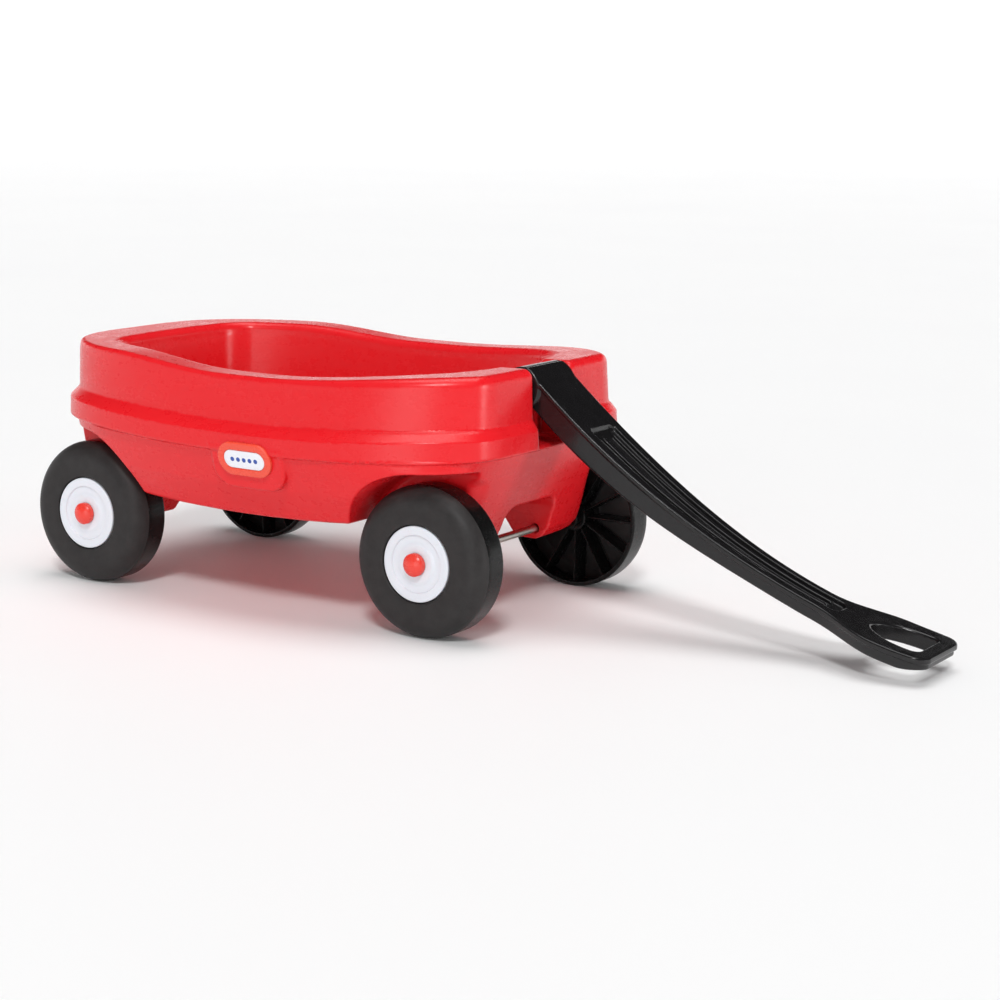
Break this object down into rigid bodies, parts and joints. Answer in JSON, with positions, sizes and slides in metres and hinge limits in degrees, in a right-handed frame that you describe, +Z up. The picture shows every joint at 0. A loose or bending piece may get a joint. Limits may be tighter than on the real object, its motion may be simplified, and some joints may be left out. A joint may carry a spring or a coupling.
{
  "type": "kids pull wagon",
  "caption": "Child's pull wagon: an oval moulded tub with a raised belt line, free-rolling wheels on steel axles and a long curved handle that swings up from a notch in the front rim.",
  "frame": {"origin": "centre of the bounding box's footprint, on the floor under the wheels", "axes": "+X towards the handle end, which is the front, +Y to the wagon's left, +Z up"},
  "size_m": [0.956, 0.409, 0.2495],
  "materials": {
    "body_red": "satin rotationally moulded polyethylene with a faint orange-peel surface",
    "trim_orange": "smooth gloss moulding",
    "label_white": "smooth printed film, left plain",
    "handle_black": "satin moulded polyethylene",
    "axle_steel": "drawn steel rod",
    "wheel_black": "hard blow-moulded plastic, matt on the tread and glossy inside",
    "disc_white": "smooth gloss moulding",
    "cap_orange": "smooth gloss moulding"
  },
  "bodies": {
    "wagon": {"wagon_body": "body_red", "badge_ring_left": "trim_orange", "badge_ring_right": "trim_orange", "badge_label_left": "label_white", "badge_label_right": "label_white", "front_axle": "axle_steel", "rear_axle": "axle_steel", "push_nut_front_left": "axle_steel", "push_nut_front_right": "axle_steel", "push_nut_rear_left": "axle_steel", "push_nut_rear_right": "axle_steel", "axle_cap_front_left": "cap_orange", "axle_cap_front_right": "cap_orange", "axle_cap_rear_left": "cap_orange", "axle_cap_rear_right": "cap_orange"},
    "pull_handle": {"handle": "handle_black"},
    "roller_front_left": {"wheel_front_left": "wheel_black", "hub_disc_front_left": "disc_white"},
    "roller_front_right": {"wheel_front_right": "wheel_black", "hub_disc_front_right": "disc_white"},
    "roller_rear_left": {"wheel_rear_left": "wheel_black", "hub_disc_rear_left": "disc_white"},
    "roller_rear_right": {"wheel_rear_right": "wheel_black", "hub_disc_rear_right": "disc_white"}
  },
  "joints": [
    {"name": "handle_swing", "type": "hinge", "parent": "wagon", "child": "pull_handle", "pos_m": [0.049, 0, 0.2295], "axis": [0, -1, 0], "range_deg": [-12, 140]},
    {"name": "wheel_spin_front_left", "type": "hinge", "parent": "wagon", "child": "roller_front_left", "pos_m": [0.016, 0.1435, 0.0735], "axis": [0, 1, 0], "continuous": true},
    {"name": "wheel_spin_front_right", "type": "hinge", "parent": "wagon", "child": "roller_front_right", "pos_m": [0.016, -0.1435, 0.0735], "axis": [0, 1, 0], "continuous": true},
    {"name": "wheel_spin_rear_left", "type": "hinge", "parent": "wagon", "child": "roller_rear_left", "pos_m": [-0.397, 0.1435, 0.0735], "axis": [0, 1, 0], "continuous": true},
    {"name": "wheel_spin_rear_right", "type": "hinge", "parent": "wagon", "child": "roller_rear_right", "pos_m": [-0.397, -0.1435, 0.0735], "axis": [0, 1, 0], "continuous": true}
  ]
}
